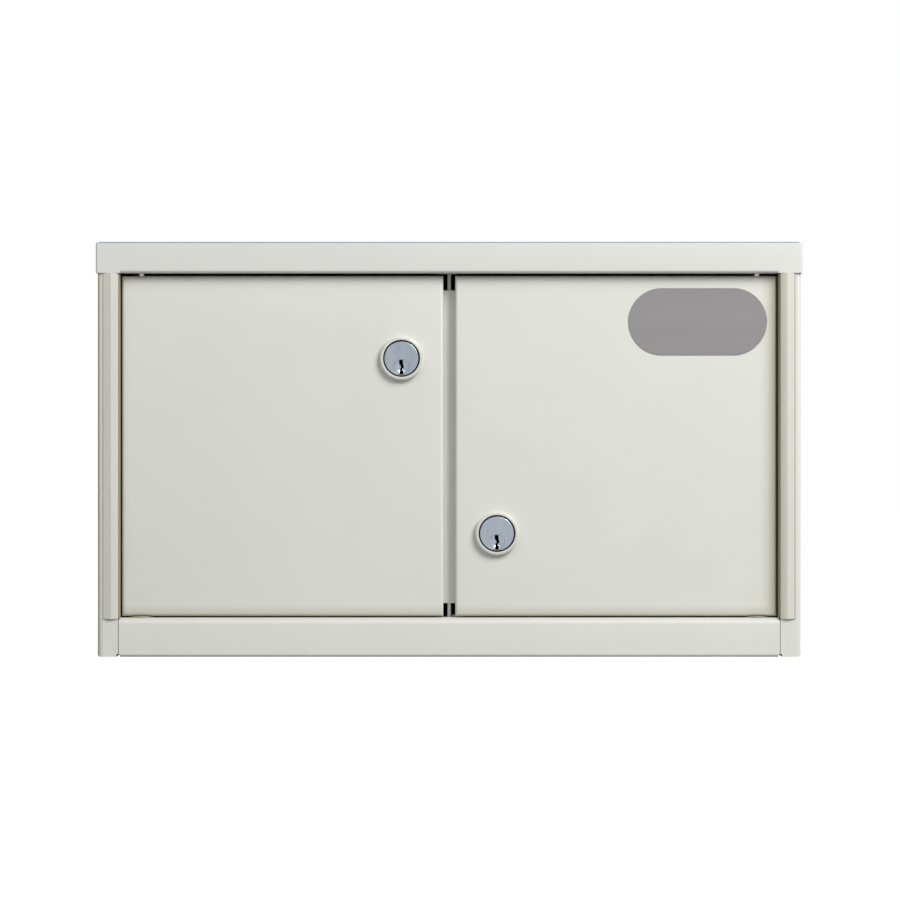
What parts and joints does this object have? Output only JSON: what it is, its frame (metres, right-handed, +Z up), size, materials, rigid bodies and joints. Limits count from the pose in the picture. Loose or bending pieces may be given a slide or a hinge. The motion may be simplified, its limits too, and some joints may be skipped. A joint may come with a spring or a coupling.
{
  "type": "lockable medicine cabinet",
  "caption": "Folded-steel medicine cabinet with side-by-side inset doors, each with a keyed cam lock, guard strips over the hinge edges, a base rail and a blank oval plate.",
  "frame": {"origin": "under the middle of the base, on the plane that the cabinet stands on", "axes": "+Z up, the doors face -Y, +X to the right as seen from the front"},
  "size_m": [0.4598, 0.2038, 0.27],
  "materials": {
    "putty_paint": "off-white powder coat with a fine texture, satin",
    "collar_paint": "smooth off-white enamel",
    "satin_lock_face": "satin brushed",
    "zinc_plate": "bright zinc plate",
    "label_grey": "matt grey, blank"
  },
  "bodies": {
    "cabinet": {"left_side_panel": "putty_paint", "right_side_panel": "putty_paint", "back_panel": "putty_paint", "base_pan": "putty_paint", "top_cap": "putty_paint", "centre_divider": "putty_paint", "strike_channel": "putty_paint", "left_guard_strip": "putty_paint", "right_guard_strip": "putty_paint", "left_shelf": "putty_paint", "right_shelf": "putty_paint", "shelf_ledges": "putty_paint", "lower_pivot_pins": "zinc_plate", "upper_pivot_pins": "zinc_plate", "pivot_washers": "zinc_plate"},
    "left_door": {"left_door_pan": "putty_paint", "left_lock_collar": "collar_paint", "left_lock_housing": "satin_lock_face", "left_lock_nut": "zinc_plate"},
    "right_door": {"right_door_pan": "putty_paint", "right_lock_collar": "collar_paint", "right_lock_housing": "satin_lock_face", "right_lock_nut": "zinc_plate", "label_plate": "label_grey"},
    "left_plug": {"left_lock_plug": "satin_lock_face", "left_stop_washer": "zinc_plate", "left_lock_cam": "zinc_plate", "left_cam_screw": "zinc_plate"},
    "right_plug": {"right_lock_plug": "satin_lock_face", "right_stop_washer": "zinc_plate", "right_lock_cam": "zinc_plate", "right_cam_screw": "zinc_plate"}
  },
  "joints": [
    {"name": "left_door_swing", "type": "hinge", "parent": "cabinet", "child": "left_door", "pos_m": [-0.2009, -0.0891, 0.1372], "axis": [0, 0, -1], "range_deg": [0, 110]},
    {"name": "right_door_swing", "type": "hinge", "parent": "cabinet", "child": "right_door", "pos_m": [0.2009, -0.0891, 0.1372], "axis": [0, 0, 1], "range_deg": [0, 110]},
    {"name": "left_lock_turn", "type": "hinge", "parent": "left_door", "child": "left_plug", "pos_m": [-0.0311, -0.0946, 0.1886], "axis": [0, -1, 0], "range_deg": [0, 90]},
    {"name": "right_lock_turn", "type": "hinge", "parent": "right_door", "child": "right_plug", "pos_m": [0.0311, -0.0946, 0.0746], "axis": [0, 1, 0], "range_deg": [0, 90]}
  ]
}
